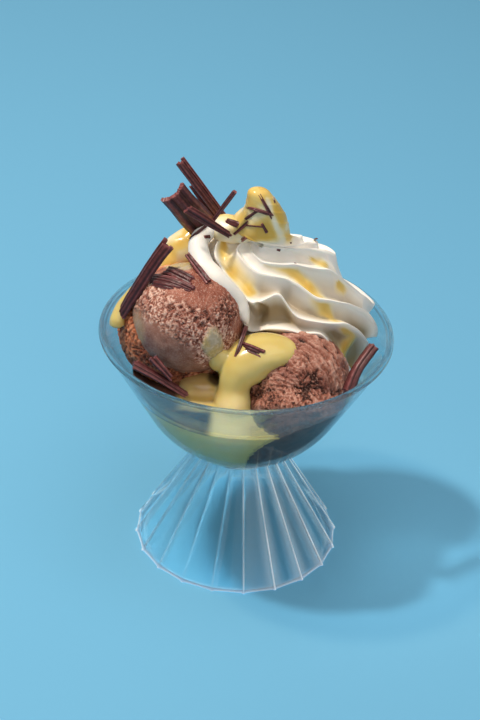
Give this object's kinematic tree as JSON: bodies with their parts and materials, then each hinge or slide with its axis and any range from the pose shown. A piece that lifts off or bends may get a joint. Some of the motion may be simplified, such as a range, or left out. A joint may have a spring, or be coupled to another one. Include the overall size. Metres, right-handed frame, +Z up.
{
  "type": "ice cream sundae",
  "caption": "Chocolate ice cream sundae in a clear footed glass dish, with custard sauce, a piped swirl of whipped cream and dark chocolate curls.",
  "frame": {"origin": "centre of the glass foot on the surface that it stands on", "axes": "+Z up, -Y to the front, where the sauce is poured, +X to the right with the whipped cream"},
  "size_m": [0.1298, 0.1298, 0.1764],
  "materials": {
    "clear_glass": "clear, smooth bowl on a pressed fluted foot",
    "chocolate_ice_cream": "rough, frosty, pitted",
    "whipped_cream": "soft satin, faintly translucent",
    "custard": "glossy thick sauce",
    "dark_chocolate": "satin, ribbed shavings"
  },
  "bodies": {
    "root": {"glass_dish": "clear_glass", "scoop_left": "chocolate_ice_cream", "scoop_right": "chocolate_ice_cream", "scoop_back": "chocolate_ice_cream", "whipped_cream": "whipped_cream", "custard_sauce": "custard", "custard_drip": "custard", "choc_stick_tall": "dark_chocolate", "choc_sliver_back": "dark_chocolate", "choc_fan": "dark_chocolate", "choc_stick_ribbed": "dark_chocolate", "choc_stick_thin": "dark_chocolate", "choc_curl_left": "dark_chocolate", "choc_curl_rim": "dark_chocolate", "choc_flap_rim": "dark_chocolate", "choc_curl_right": "dark_chocolate", "choc_flake_side": "dark_chocolate", "choc_flake_top_low": "dark_chocolate", "choc_flake_top_high": "dark_chocolate", "choc_flake_pour_long": "dark_chocolate", "choc_flake_pour_wide": "dark_chocolate"}
  },
  "joints": []
}
